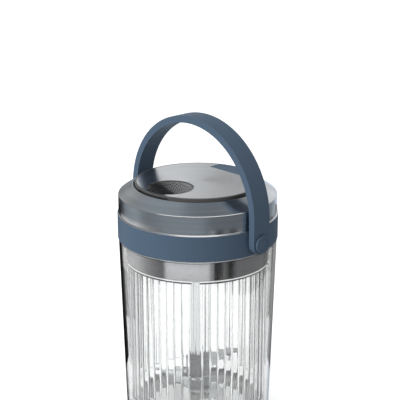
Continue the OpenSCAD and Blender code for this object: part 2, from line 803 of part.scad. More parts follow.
module retaining_clip() {
    color(steel) tube(clip_r, shaft_r - clip_depth, clip_z, clip_t);
}

module blade_hub() {
    color(grey_plastic) tube(hub_r, shaft_r, hub_z, hub_h);
}

module arc_disc(shares) {
    translate(blade_r * [shares[0], shares[1]]) circle(r = blade_r * shares[2]);
}

// Outline of one wing: it sweeps back from the eye between two arcs, cut off at its root
module wing_outline() {
    intersection() {
        circle(r = blade_r);
        difference() {
            arc_disc(front_arc_shares);
            arc_disc(back_arc_shares);
        }
        translate([wing_root - blade_t / 2, -blade_r]) square([blade_r, 2 * blade_r]);
    }
}

// Two swept wings on a round eye. turn sets the blade on the shaft, lean bends its wings up
module blade(z, turn, lean) {
    color(steel) translate([0, 0, z]) rotate([0, 0, turn]) difference() {
        union() {
            cylinder(r = blade_eye_r, h = blade_t);
            for (side = [0, 180]) rotate([0, 0, side]) translate([wing_root, 0, 0])
                rotate([0, -lean, 0]) translate([-wing_root, 0, 0])
                    linear_extrude(blade_t) wing_outline();
        }
        translate([0, 0, -overrun]) cylinder(r = shaft_r, h = blade_t + 2 * overrun);
    }
}

module upper_blade() { blade(upper_blade_z, 90, upper_lean); }
module lower_blade() { blade(lower_blade_z, 0, -lower_lean); }

module blade_spacer() {
    color(grey_plastic) tube(spacer_r, shaft_r, lower_blade_z + blade_t, blade_gap);
}

module blade_nut() {
    color(steel) translate([0, 0, nut_z]) difference() {
        cylinder(r = nut_r, h = nut_h, $fn = 6);
        translate([0, 0, -overrun]) cylinder(r = shaft_r, h = nut_h + 2 * overrun);
    }
}

outer_shell();
inner_liner();
neck_collar();
foot_ring();
foot_bearing();
lid_gasket();
carry_ring();
lid_shell();
bearing_plate();
crank_bush();
plug_cup();
ring_gear();
shaft_bush();
shaft_seal();
plate_screws();
handle_pins();
carry_handle();
crank_facing();
crank_wheel();
grip_pad();
planet_carrier();
planet_axles();
carrier_screw();
carrier_washer();
flap_wire();
crank_flap();
planet_gear(0);  // planet_gear_1
planet_gear(1);  // planet_gear_2
planet_gear(2);  // planet_gear_3
drive_shaft();
sun_gear();
thrust_washer();
retaining_clip();
blade_hub();
upper_blade();
blade_spacer();
lower_blade();
blade_nut();
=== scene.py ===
# Hand crank blender: clear fluted jar, steel lid with a geared crank wheel, slate blue ring and bail.
# Outlines and the pieces' named sizes are millimetres, with heights from the table, and become metres where
# a mesh is made. The camera, the studio and the sizes that a node tree is given are metres.
import math

import bmesh
import bpy
from mathutils import Matrix, Vector


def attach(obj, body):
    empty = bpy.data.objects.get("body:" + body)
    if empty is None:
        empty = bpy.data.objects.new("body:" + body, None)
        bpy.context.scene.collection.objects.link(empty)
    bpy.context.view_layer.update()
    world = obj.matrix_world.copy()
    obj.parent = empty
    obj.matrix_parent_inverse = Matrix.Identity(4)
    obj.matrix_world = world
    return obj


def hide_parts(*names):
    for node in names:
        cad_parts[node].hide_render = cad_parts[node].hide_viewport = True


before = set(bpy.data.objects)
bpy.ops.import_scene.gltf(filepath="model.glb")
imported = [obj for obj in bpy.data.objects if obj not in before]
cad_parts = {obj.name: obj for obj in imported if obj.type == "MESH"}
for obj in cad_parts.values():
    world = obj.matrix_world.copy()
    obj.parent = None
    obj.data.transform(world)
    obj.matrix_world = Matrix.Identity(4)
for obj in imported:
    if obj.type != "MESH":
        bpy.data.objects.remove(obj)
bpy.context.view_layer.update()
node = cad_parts

# The picture's camera: a long lens 600 mm from the lid, looking down by 18 degrees from between the finger
# dimple's side and one pin of the bail. The jar's foot falls below the picture.
look_from = math.radians(46.5)
look_down = math.radians(17.93)
right = Vector((math.cos(look_from), math.sin(look_from), 0))
toward = Vector((math.sin(look_from) * math.cos(look_down),
                 -math.cos(look_from) * math.cos(look_down), math.sin(look_down)))
aim = Vector((0, 0, 0.13235)) + right * 0.00124
distance = 0.6
camera = bpy.data.objects.new("camera", bpy.data.cameras.new("camera"))
camera.data.lens = 95.31
camera.data.sensor_width = 36
camera.data.clip_start = 0.01
camera.data.clip_end = 50
camera.location = aim + toward * distance
camera.rotation_euler = toward.to_track_quat("Z", "Y").to_euler()
bpy.context.scene.collection.objects.link(camera)
bpy.context.scene.camera = camera
bpy.context.scene.view_settings.view_transform = "Standard"

# The studio: a white table top, a soft window light on the left and a weaker one over the lid. Glowing cards
# stand round the jar, because clear plastic and polished steel show little but what is near them.
front = Vector((toward.x, toward.y, 0)).normalized()


def spot(x, y, z):
    """A place by its distance to the picture's right, towards the camera and up."""
    return right * x + front * y + Vector((0, 0, z))


def placed(name, data):
    """A mesh or a light as an object of the scene."""
    piece = bpy.data.objects.new(name, data)
    bpy.context.scene.collection.objects.link(piece)
    return piece


def flat_sheet(name, corners, material):
    """A flat sheet with these four corners."""
    mesh = bpy.data.meshes.new(name)
    mesh.from_pydata([tuple(corner) for corner in corners], [], [(0, 1, 2, 3)])
    mesh.materials.append(material)
    return placed(name, mesh)


TABLE_REACH = 12
table_paint = bpy.data.materials.new("table_white")
table_paint.use_nodes = True
table_coat = table_paint.node_tree.nodes["Principled BSDF"]
table_coat.inputs["Base Color"].default_value = (0.86, 0.86, 0.86, 1)
table_coat.inputs["Roughness"].default_value = 0.9
table_coat.inputs["Specular IOR Level"].default_value = 0
table_coat.inputs["Emission Color"].default_value = (1, 1, 1, 1)
table_coat.inputs["Emission Strength"].default_value = 0.62
table_corners = [Vector((x, y, 0)) * TABLE_REACH for x, y in ((-1, -1), (1, -1), (1, 1), (-1, 1))]
table = flat_sheet("table", table_corners, table_paint)
table.visible_glossy = table.visible_diffuse = False


def soft_light(name, place, target, size, power):
    """A square light of this size, which lights the object but is neither seen nor mirrored."""
    light = bpy.data.lights.new(name, "AREA")
    light.size = size
    light.energy = power
    lamp = placed(name, light)
    lamp.location = place
    lamp.rotation_euler = (place - target).to_track_quat("Z", "Y").to_euler()
    lamp.visible_glossy = lamp.visible_transmission = lamp.visible_camera = False
    return lamp


lid_foot = Vector((0, 0, 0.12))
soft_light("window_left", lid_foot + spot(-1.24, 0.72, 0.73), lid_foot, size=0.6, power=17)
soft_light("cloth_above", lid_foot + spot(0, -0.3, 1.7), lid_foot, size=1.8, power=4)


def mixed_shaders(tree, share, first, second):
    """The first shader where the share is 0 and the second where it is 1."""
    mix = tree.nodes.new("ShaderNodeMixShader")
    for socket, source in zip(mix.inputs, (share, first, second)):
        tree.links.new(source, socket)
    return mix.outputs[0]


def card(name, corner, across, up, grey, mirrored_only=False):
    """A glowing card that plastic and steel show. A mirrored_only one isn't seen straight through plastic."""
    paint = bpy.data.materials.new(name)
    paint.use_nodes = True
    tree = paint.node_tree
    tree.nodes.clear()
    glow = tree.nodes.new("ShaderNodeEmission")
    glow.inputs["Color"].default_value = (grey, grey, grey, 1)
    shown = glow.outputs[0]
    if mirrored_only:
        bounces = tree.nodes.new("ShaderNodeLightPath").outputs["Glossy Depth"]
        shown = mixed_shaders(tree, bounces, tree.nodes.new("ShaderNodeBsdfTransparent").outputs[0], shown)
    tree.links.new(shown, tree.nodes.new("ShaderNodeOutputMaterial").inputs[0])
    piece = flat_sheet(name, (corner, corner + across, corner + across + up, corner + up), paint)
    piece.visible_camera = piece.visible_diffuse = piece.visible_shadow = False


CARD_CIRCLE = 0.16


def side_card(name, start, end, low, high, grey, mirrored_only=False):
    """A card on the circle between two turns in degrees, from 0 towards the camera to 90 at its right."""
    near, far = [spot(CARD_CIRCLE * math.sin(turn), CARD_CIRCLE * math.cos(turn), low)
                 for turn in (math.radians(start), math.radians(end))]
    card(name, near, far - near, Vector((0, 0, high - low)), grey, mirrored_only)


# Two cards behind the jar darken its edges. Those in the circle give the collar its bands and the flutes some
# grey. The high one in front shows in the edges that turn up towards it.
EDGE_CARD_W, EDGE_CARD_BACK = 0.037, -0.05
FLUTES_TO, COLLAR_TO = 0.04, 0.08
jar_height = Vector((0, 0, 0.112))
card("card_black_left", spot(-0.085, EDGE_CARD_BACK, 0), right * EDGE_CARD_W, jar_height, grey=0.01)
card("card_grey_right", spot(0.048, EDGE_CARD_BACK, 0), right * EDGE_CARD_W, jar_height, grey=0.3)
# The turn at which each collar card starts, the turn at which it ends, and its grey.
collar_greys = (
    (-152, -136, 0.08), (-136, -116, 0.6), (-116, -84, 0.96), (-84, -74, 0.68), (-74, -64, 0.5),
    (-64, -54, 0.36), (-54, -45, 0.28), (16, 21, 0.6), (21, 32, 0.03), (32, 40, 0.26), (40, 50, 0.03),
    (50, 112, 0.29), (112, 152, 0.1))
for number, (start, end, grey) in enumerate(collar_greys, 1):
    side_card(f"card_collar_{number}", start, end, FLUTES_TO, COLLAR_TO, grey, mirrored_only=True)
for side in (-1, 1):
    side_card(f"card_flutes_{side + 2}", side * 118, side * 135, 0, FLUTES_TO, grey=0.2)
card("card_high_front", spot(-0.9, 0.35, 0.95), right * 2.2, spot(0, 0.3, -0.45), grey=1.5)

# The studio's walls: one ramp of greys round the object below its horizon, one above it and one overhead,
# seen in reflections alone. Matt surfaces get an even light, and the camera and clear plastic see white.
world = bpy.data.worlds.new("studio_walls")
world.use_nodes = True
bpy.context.scene.world = world
walls = world.node_tree
walls.nodes.clear()
ray = walls.nodes.new("ShaderNodeTexCoord").outputs["Generated"]


def maths_node(tree, operation, a, b=0.0):
    """The result of one step of maths in the tree, on numbers or on other nodes' results."""
    step = tree.nodes.new("ShaderNodeMath")
    step.operation = operation
    for socket, value in zip(step.inputs, (a, b)):
        if isinstance(value, bpy.types.NodeSocket):
            tree.links.new(value, socket)
        else:
            socket.default_value = value
    return step.outputs[0]


def along_wall(axis):
    """How far the ray goes along this axis, from -1 to 1."""
    dot = walls.nodes.new("ShaderNodeVectorMath")
    dot.operation = "DOT_PRODUCT"
    walls.links.new(ray, dot.inputs[0])
    dot.inputs[1].default_value = axis
    return dot.outputs["Value"]


def wall_ramp(value, stops, cool=0.0):
    """Greys at these places of the value from 0 to 1, tinted a little blue by cool."""
    ramp = walls.nodes.new("ShaderNodeValToRGB")
    ramp.color_ramp.interpolation = "EASE"
    while len(ramp.color_ramp.elements) < len(stops):
        ramp.color_ramp.elements.new(0.5)
    for element, (place, grey) in zip(ramp.color_ramp.elements, stops):
        element.position = place
        element.color = (grey * (1 - cool), grey, grey * (1 + cool), 1)
    walls.links.new(value, ramp.inputs[0])
    return ramp.outputs[0]


def mixed_walls(share, first, second):
    """The first colour where the share is 0 and the second where it is 1."""
    mix = walls.nodes.new("ShaderNodeMix")
    mix.data_type = "RGBA"
    for label, source in (("Factor", share), ("A", first), ("B", second)):
        walls.links.new(source, mix.inputs[label])
    return mix.outputs["Result"]


def white_wall(strength):
    """An even white of this strength."""
    even = walls.nodes.new("ShaderNodeBackground")
    even.inputs["Color"].default_value = (1, 1, 1, 1)
    even.inputs["Strength"].default_value = strength
    return even.outputs[0]


# The ramps take values from 0 to 1. The turn is 0.5 towards the camera, less to its left and more to its
# right. The height is 0.5 at the horizon and 1 overhead. Sideways goes from 0 at the left to 1 at the right.
turned_to = maths_node(walls, "ARCTAN2", along_wall(right), along_wall(front))
turn = maths_node(walls, "ADD", maths_node(walls, "DIVIDE", turned_to, 2 * math.pi), 0.5)
raised_to = maths_node(walls, "ARCSINE", along_wall((0, 0, 1)))
height = maths_node(walls, "ADD", maths_node(walls, "DIVIDE", raised_to, math.pi), 0.5)
sideways = maths_node(walls, "ADD", maths_node(walls, "MULTIPLY", along_wall(right), 0.5), 0.5)
low = wall_ramp(turn, [
    (0, 0.9), (0.03, 0.3), (0.06, 0.07), (0.11, 0.06), (0.16, 0.36), (0.22, 0.44), (0.29, 0.27),
    (0.39, 0.35), (0.5, 0.35), (0.56, 0.22), (0.67, 0.2), (0.85, 0.3), (0.95, 0.95)], cool=0.12)
high = wall_ramp(turn, [
    (0, 0.88), (0.025, 0.8), (0.055, 0.3), (0.085, 0.5), (0.13, 0.36), (0.25, 0.34), (0.5, 0.28),
    (0.6, 0.18), (0.8, 0.3), (0.93, 1.0), (0.965, 0.55), (1, 0.5)], cool=0.03)
overhead = wall_ramp(sideways, [(0.38, 0.4), (0.46, 0.26), (0.6, 0.24), (0.75, 0.3)], cool=0.12)
around = mixed_walls(wall_ramp(height, [(0.47, 0), (0.53, 1)]), low, high)
whole = mixed_walls(wall_ramp(height, [(0.66, 0), (0.8, 1)]), around, overhead)
mirrored = walls.nodes.new("ShaderNodeBackground")
walls.links.new(whole, mirrored.inputs["Color"])
path = walls.nodes.new("ShaderNodeLightPath").outputs
indirect = mixed_shaders(walls, path["Is Diffuse Ray"], mirrored.outputs[0], white_wall(0.46))
straight = maths_node(walls, "MAXIMUM", path["Is Camera Ray"], path["Is Transmission Ray"])
seen = mixed_shaders(walls, straight, indirect, white_wall(1))
walls.links.new(seen, walls.nodes.new("ShaderNodeOutputWorld").inputs[0])

# Outer shell of the jar: clear copolyester, injection moulded, 2.1 mm thick. Its walls taper to the foot,
# where they step in to the seat of the rubber ring, and its rim is welded to the flange of the liner.
SHELL_TOP_R, SHELL_LOW_R, SHELL_FOOT_Z = 45.1, 42.475, 2.05
TAPER_TOP_Z, RIM_Z = 110.3, 112.0
SHELL_IN_TOP_R, SHELL_IN_LOW_R, SHELL_IN_LOW_Z = 43.0, 40.43, 9.1
WELD_R, WELD_FOOT_Z = 42.6, 110.5
SEAT_R, SEAT_Z = 40.85, 7.05
FLOOR_R, FLOOR_EDGE_Z, FLOOR_Z = 38.8, 4.9, 4


def softened(corners, cuts=5):
    """The outline with each (r, z, radius) corner rounded to its radius."""
    line = []
    for i, (r, z, radius) in enumerate(corners):
        here = Vector((r, z))
        if radius == 0:
            line.append(here)
            continue
        back = (Vector(corners[i - 1][:2]) - here).normalized()
        ahead = (Vector(corners[(i + 1) % len(corners)][:2]) - here).normalized()
        half = back.angle(ahead) / 2
        centre = here + (back + ahead).normalized() * radius / math.sin(half)
        first = here + back * radius / math.tan(half) - centre
        last = here + ahead * radius / math.tan(half) - centre
        sweep = first.angle(last)
        for k in range(cuts + 1):
            share = k / cuts
            line.append(centre + (first * math.sin((1 - share) * sweep) + last * math.sin(share * sweep))
                        / math.sin(sweep))
    return line


def kept(piece):
    """The result of the piece's modifiers becomes its plain mesh."""
    bpy.context.view_layer.update()
    piece.data = bpy.data.meshes.new_from_object(piece.evaluated_get(bpy.context.evaluated_depsgraph_get()))
    piece.modifiers.clear()
    piece.data.name = piece.name
    return piece


def smooth(piece, crease=32):
    """Round surfaces shade smoothly, flat ones beside them stay flat and edges past crease stay crisp."""
    piece.data.shade_smooth()
    piece.data.set_sharp_from_angle(angle=math.radians(crease))
    level = piece.modifiers.new("level", "WEIGHTED_NORMAL")
    level.keep_sharp = True
    return kept(piece)


def meshed(name, bm):
    """The edited mesh as an object of the scene."""
    mesh = bpy.data.meshes.new(name)
    bm.to_mesh(mesh)
    bm.free()
    return placed(name, mesh)


def turned(name, outline, angles, crease=32):
    """A closed outline of (r, z), spun into a mesh with this many columns or one at each of these degrees."""
    if isinstance(angles, int):
        angles = [360 * i / angles for i in range(angles)]
    bm = bmesh.new()
    rows = []
    for r, z in outline:
        if r < 1e-6:
            rows.append([bm.verts.new((0, 0, z / 1000))] * len(angles))
        else:
            rows.append([bm.verts.new((r / 1000 * math.cos(a), r / 1000 * math.sin(a), z / 1000))
                         for a in map(math.radians, angles)])
    for row, after in zip(rows, rows[1:] + rows[:1]):
        for i in range(len(angles)):
            k = (i + 1) % len(angles)
            ring = list(dict.fromkeys((row[i], row[k], after[k], after[i])))
            if len(ring) > 2:
                bm.faces.new(ring)
    bmesh.ops.recalc_face_normals(bm, faces=bm.faces)
    return smooth(meshed(name, bm), crease)


def finish(name, colour, roughness, metallic=0.0, **sockets):
    """A Principled material with constants on its own sockets."""
    material = bpy.data.materials.new(name)
    material.use_nodes = True
    shader = material.node_tree.nodes["Principled BSDF"]
    shader.inputs["Base Color"].default_value = (*colour, 1)
    shader.inputs["Roughness"].default_value = roughness
    shader.inputs["Metallic"].default_value = metallic
    for label, value in sockets.items():
        shader.inputs[label.replace("_", " ")].default_value = value
    return material


def dress(piece, material, body, slot, *replaced):
    """Gives the piece its material and its body, and hides the solids that it stands for. The slot is not
    used.
    """
    piece.data.materials.clear()
    piece.data.materials.append(material)
    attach(piece, body)
    if replaced:
        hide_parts(*replaced)


clear_plastic = finish("clear_copolyester", (0.985, 0.99, 0.99), roughness=0.015,
                       Transmission_Weight=1.0, IOR=1.54)
shell_outline = softened([
    (0, SHELL_FOOT_Z, 0), (SEAT_R, SHELL_FOOT_Z, 0.8), (SEAT_R, SEAT_Z, 0), (SHELL_LOW_R, SEAT_Z, 0),
    (SHELL_TOP_R, TAPER_TOP_Z, 0), (SHELL_TOP_R, RIM_Z, 0.5), (WELD_R, RIM_Z, 0), (WELD_R, WELD_FOOT_Z, 0),
    (SHELL_IN_TOP_R, TAPER_TOP_Z, 0), (SHELL_IN_LOW_R, SHELL_IN_LOW_Z, 0), (FLOOR_R, FLOOR_EDGE_Z, 1),
    (FLOOR_R, FLOOR_Z, 0.3), (0, FLOOR_Z, 0)])
shell = turned("outer_shell_clear", shell_outline, angles=224)
dress(shell, clear_plastic, "jar", "clear_plastic", "outer_shell")

# Inner liner: the same clear plastic, with a smooth bore and an outside of five flat pillars with ten flutes
# between each pair, which throw the vertical lines seen through the shell. Its neck goes up into the lid.
PILLARS, PILLAR_DEG, PILLAR_AT_DEG = 5, 10.0, -45.0
SECTOR = 360 / PILLARS
FLUTES = 10
FLUTE_DEG = (SECTOR - PILLAR_DEG) / FLUTES
FLUTE_SHARES = (0, 0.02, 0.05, 0.09, 0.14, 0.22, 0.35, 0.5, 0.65, 0.78, 0.86, 0.91, 0.95, 0.98)
LINER_R, PILLAR_R, NECK_R, BORE_R = 40, 39.9, 41.2, 36.9
LINER_FOOT_Z, BORE_FOOT_Z, FLANGE_Z, NECK_TOP_Z = 6, 9, 110.5, 121.4
PANEL_FOOT_Z, PANEL_HEAD_Z, PANEL_STEP = 16, 99.1, 0.01
BEARING_R, BEARING_TOP_Z = 4.65, 7.45


def sized_tree(name, sizes):
    """A Geometry Nodes tree with a geometry in and out and named sizes, and a short way to add its nodes."""
    tree = bpy.data.node_groups.new(name, "GeometryNodeTree")
    tree.interface.new_socket("Geometry", in_out="INPUT", socket_type="NodeSocketGeometry")
    tree.interface.new_socket("Geometry", in_out="OUTPUT", socket_type="NodeSocketGeometry")
    for label, value in sizes.items():
        kind = "NodeSocketInt" if isinstance(value, int) else "NodeSocketFloat"
        tree.interface.new_socket(label, in_out="INPUT", socket_type=kind)
    given = tree.nodes.new("NodeGroupInput")

    def add(kind, inputs=(), **settings):
        made = tree.nodes.new(kind)
        for label, value in settings.items():
            setattr(made, label, value)
        for key, value in dict(inputs).items():
            if isinstance(value, bpy.types.NodeSocket):
                tree.links.new(value, made.inputs[key])
            else:
                made.inputs[key].default_value = value
        return made.outputs

    def maths(operation, a, b=0.0, c=0.0):
        return add("ShaderNodeMath", {0: a, 1: b, 2: c}, operation=operation)[0]

    return tree, given.outputs, add, maths


def grown(piece, tree, sizes):
    """The tree's result on the piece, with these sizes, becomes its plain mesh."""
    modifier = piece.modifiers.new(tree.name, "NODES")
    modifier.node_group = tree
    for item in tree.interface.items_tree:
        if item.in_out == "INPUT" and item.name in sizes:
            modifier[item.identifier] = sizes[item.name]
    piece.update_tag()
    kept(piece)


# Points this close to a pillar's edge, in radians, belong to the pillar.
ON_EDGE = 1e-5


def flute_tree(sizes, material):
    """Draws the outside in between the pillars, by the panel's depth less each flute's flat-topped rise."""
    tree, given, add, maths = sized_tree("fluted_liner", sizes)
    where = add("ShaderNodeSeparateXYZ", {0: add("GeometryNodeInputPosition")[0]})
    angle = maths("ARCTAN2", where["Y"], where["X"])
    in_sector = maths("WRAP", maths("SUBTRACT", angle, given["Pillar at"]), given["Sector"], 0.0)
    along = maths("DIVIDE", maths("SUBTRACT", in_sector, given["Half pillar"]), given["Flute angle"])
    aside = maths("ABSOLUTE", maths("SUBTRACT", maths("MULTIPLY", maths("FRACT", along), 2.0), 1.0))
    bulge = maths("SUBTRACT", 1.0, maths("POWER", aside, given["Crown"]))
    hump = maths("MULTIPLY", bulge, given["Flute rise"])
    half_rise = maths("MULTIPLY", given["Flute rise"], 0.5)
    sunk = maths("SUBTRACT", maths("SUBTRACT", hump, half_rise), given["Panel depth"])
    panel_end = maths("SUBTRACT", given["Sector"], given["Half pillar"])
    beyond = maths("GREATER_THAN", in_sector, maths("ADD", given["Half pillar"], ON_EDGE))
    before = maths("LESS_THAN", in_sector, maths("SUBTRACT", panel_end, ON_EDGE))
    above = maths("GREATER_THAN", where["Z"], given["Panel foot"])
    below = maths("LESS_THAN", where["Z"], given["Panel head"])
    radius = maths("SQRT", maths("ADD", maths("POWER", where["X"], 2), maths("POWER", where["Y"], 2)))
    outside = maths("GREATER_THAN", radius, given["Outside from"])
    here = maths("MULTIPLY", maths("MULTIPLY", beyond, before),
                 maths("MULTIPLY", maths("MULTIPLY", above, below), outside))
    share = maths("DIVIDE", maths("MULTIPLY", sunk, here), radius)
    shift = add("ShaderNodeCombineXYZ", {"X": maths("MULTIPLY", where["X"], share),
                                         "Y": maths("MULTIPLY", where["Y"], share)})
    moved = add("GeometryNodeSetPosition", {"Geometry": given["Geometry"], "Offset": shift[0]})
    real = add("GeometryNodeRealizeInstances", {0: moved[0]})
    painted = add("GeometryNodeSetMaterial", {"Geometry": real[0], "Material": material})
    add("NodeGroupOutput", {0: painted[0]})
    return tree


columns = []
for p in range(PILLARS):
    start = PILLAR_AT_DEG + SECTOR * p
    columns += [start + PILLAR_DEG * (k / 4 - 0.5) for k in range(4)]
    for k in range(FLUTES):
        columns += [start + PILLAR_DEG / 2 + FLUTE_DEG * (k + share) for share in FLUTE_SHARES]
liner_outline = softened([
    (0, LINER_FOOT_Z, 0), (LINER_R, LINER_FOOT_Z, 7.2), (LINER_R, PANEL_FOOT_Z - PANEL_STEP, 0),
    (PILLAR_R, PANEL_FOOT_Z, 0), (PILLAR_R, PANEL_HEAD_Z - PANEL_STEP, 0), (LINER_R, PANEL_HEAD_Z, 0),
    (LINER_R, FLANGE_Z, 0), (NECK_R, FLANGE_Z, 0), (NECK_R, NECK_TOP_Z, 0.4), (BORE_R, NECK_TOP_Z, 0.6),
    (BORE_R, BORE_FOOT_Z, 5), (BEARING_R, BORE_FOOT_Z, 0), (BEARING_R, BEARING_TOP_Z, 0),
    (0, BEARING_TOP_Z, 0)], cuts=6)
liner = turned("inner_liner_clear", liner_outline, columns)
liner_sizes = {"Pillar at": math.radians(PILLAR_AT_DEG), "Sector": math.radians(SECTOR),
               "Half pillar": math.radians(PILLAR_DEG / 2), "Flute angle": math.radians(FLUTE_DEG),
               "Flute rise": 0.0005, "Crown": 8.0, "Panel depth": 0.0008,
               "Panel foot": (PANEL_FOOT_Z - PANEL_STEP / 2) / 1000,
               "Panel head": (PANEL_HEAD_Z - PANEL_STEP / 2) / 1000, "Outside from": 0.038}
grown(liner, flute_tree(liner_sizes, clear_plastic), liner_sizes)
smooth(liner, crease=20)
dress(liner, clear_plastic, "jar", "clear_plastic", "inner_liner")

# Collar: a band of polished steel pressed on the top of the liner, with three fine rolled lines and a
# turned-out upper edge under the rim of the shell. At its foot is a rolled bead that stops at each pillar.
COLLAR_R, COLLAR_IN_R, COLLAR_FOOT_Z, COLLAR_TOP_Z = 40.8, 40.02, 99.2, 111.92
EDGE_R, EDGE_LOW_Z, EDGE_Z = 42.52, 110.2, 110.7
EDGE_IN_R, EDGE_IN_LOW_Z, EDGE_IN_Z = 41.28, 110.45, 110.6
LINE_HEIGHTS = (103.2, 104.6, 106.0)
LINE_HALF, LINE_RISE = 0.4, 0.04


def brushed(material, across, along, dark, light):
    """Lathe lines: the base colour varies quickly across the radius and the height and slowly along them."""
    tree = material.node_tree
    nodes, links = tree.nodes, tree.links
    place = nodes.new("ShaderNodeTexCoord")
    parts = nodes.new("ShaderNodeSeparateXYZ")
    links.new(place.outputs["Object"], parts.inputs[0])
    x, y, z = parts.outputs
    squares = maths_node(tree, "ADD", maths_node(tree, "POWER", x, 2), maths_node(tree, "POWER", y, 2))
    radius = maths_node(tree, "SQRT", squares)
    lines = nodes.new("ShaderNodeCombineXYZ")
    for quick, slow, socket in ((radius, x, lines.inputs["X"]), (z, y, lines.inputs["Y"])):
        crossing = maths_node(tree, "MULTIPLY", quick, across)
        drift = maths_node(tree, "MULTIPLY", slow, along)
        links.new(maths_node(tree, "ADD", crossing, drift), socket)
    noise = nodes.new("ShaderNodeTexNoise")
    noise.inputs["Scale"].default_value = 1
    noise.inputs["Detail"].default_value = 4
    links.new(lines.outputs[0], noise.inputs["Vector"])
    ramp = nodes.new("ShaderNodeValToRGB")
    for element, position, colour in zip(ramp.color_ramp.elements, (0.35, 0.65), (dark, light)):
        element.position = position
        element.color = (*colour, 1)
    links.new(noise.outputs["Fac"], ramp.inputs[0])
    links.new(ramp.outputs[0], nodes["Principled BSDF"].inputs["Base Color"])


def grain(material, scale, low, high, socket="Roughness", stretch=(1, 1, 1)):
    """Noise on Object coordinates drives one socket between two values, numbers or colours."""
    nodes, links = material.node_tree.nodes, material.node_tree.links
    place = nodes.new("ShaderNodeTexCoord")
    mapping = nodes.new("ShaderNodeMapping")
    mapping.inputs["Scale"].default_value = stretch
    links.new(place.outputs["Object"], mapping.inputs["Vector"])
    noise = nodes.new("ShaderNodeTexNoise")
    noise.inputs["Scale"].default_value = scale
    noise.inputs["Detail"].default_value = 3
    links.new(mapping.outputs["Vector"], noise.inputs["Vector"])
    shader = nodes["Principled BSDF"]
    if isinstance(low, tuple):
        mix = nodes.new("ShaderNodeMix")
        mix.data_type = "RGBA"
        mix.inputs["A"].default_value = (*low, 1)
        mix.inputs["B"].default_value = (*high, 1)
        links.new(noise.outputs["Fac"], mix.inputs["Factor"])
        links.new(mix.outputs["Result"], shader.inputs[socket])
    else:
        reach = nodes.new("ShaderNodeMapRange")
        reach.inputs["From Min"].default_value = 0.3
        reach.inputs["From Max"].default_value = 0.7
        reach.inputs["To Min"].default_value = low
        reach.inputs["To Max"].default_value = high
        links.new(noise.outputs["Fac"], reach.inputs["Value"])
        links.new(reach.outputs["Result"], shader.inputs[socket])
    return noise


steel_collar = finish("collar_steel", (0.37, 0.375, 0.385), roughness=0.15, metallic=1.0, Anisotropic=0.5)
brushed(steel_collar, across=500, along=8, dark=(0.32, 0.32, 0.325), light=(0.37, 0.375, 0.385))
rolled = [(COLLAR_R, COLLAR_FOOT_Z, 0)]
for line_z in LINE_HEIGHTS:
    rolled += [(COLLAR_R, line_z - LINE_HALF, 0), (COLLAR_R + LINE_RISE, line_z, 0),
               (COLLAR_R, line_z + LINE_HALF, 0)]
collar = turned("collar_band", softened([
    (COLLAR_IN_R, COLLAR_FOOT_Z, 0), *rolled, (COLLAR_R, EDGE_LOW_Z, 0.3), (EDGE_R, EDGE_Z, 0.2),
    (EDGE_R, COLLAR_TOP_Z, 0), (EDGE_IN_R, COLLAR_TOP_Z, 0), (EDGE_IN_R, EDGE_IN_Z, 0),
    (COLLAR_IN_R, EDGE_IN_LOW_Z, 0)]), angles=224, crease=60)
dress(collar, steel_collar, "jar", "polished_steel", "neck_collar")


def bead_tree(sizes, material):
    """A round rod along an arc over each panel."""
    tree, given, add, maths = sized_tree("collar_beads", sizes)
    arc = add("GeometryNodeCurveArc", {
        "Resolution": 64, "Radius": given["Radius"], "Start Angle": given["Start"],
        "Sweep Angle": given["Sweep"]})
    rod = add("GeometryNodeCurvePrimitiveCircle", {
        "Resolution": 10, "Radius": given["Rod radius"]}, mode="RADIUS")
    bead = add("GeometryNodeCurveToMesh", {"Curve": arc[0], "Profile Curve": rod[0], "Fill Caps": True})
    turns = add("GeometryNodeMeshLine", {"Count": given["Panels"]})
    number = add("GeometryNodeInputIndex")[0]
    sector = maths("DIVIDE", 2 * math.pi, given["Panels"])
    spin = add("ShaderNodeCombineXYZ", {"Z": maths("MULTIPLY", number, sector)})
    level = add("ShaderNodeCombineXYZ", {"Z": given["Height"]})
    ring_points = add("GeometryNodeSetPosition", {"Geometry": turns[0], "Position": level[0]})
    beads = add("GeometryNodeInstanceOnPoints", {
        "Points": ring_points[0], "Instance": bead[0], "Rotation": spin[0]})
    real = add("GeometryNodeRealizeInstances", {0: beads[0]})
    round_beads = add("GeometryNodeSetShadeSmooth", {"Geometry": real[0]})
    painted = add("GeometryNodeSetMaterial", {"Geometry": round_beads[0], "Material": material})
    add("NodeGroupOutput", {0: painted[0]})
    return tree


BEAD_BREAK_DEG = 6
# The bead's steel is near-white, brighter than the other polished steel, so that the bead shows a white line:
# a painted highlight.
bead_steel_painted_bright = finish("bead_steel_painted_highlight", (0.93, 0.935, 0.94), roughness=0.12, metallic=1.0)
grain(bead_steel_painted_bright, scale=200, low=0.08, high=0.16)
bead_sizes = {"Panels": PILLARS, "Radius": 0.0407, "Rod radius": 0.00045, "Height": COLLAR_FOOT_Z / 1000,
              "Start": math.radians(PILLAR_AT_DEG + BEAD_BREAK_DEG / 2),
              "Sweep": math.radians(SECTOR - BEAD_BREAK_DEG)}
beads = placed("collar_beads", bpy.data.meshes.new("collar_beads"))
grown(beads, bead_tree(bead_sizes, bead_steel_painted_bright), bead_sizes)
dress(beads, bead_steel_painted_bright, "jar", "polished_steel")

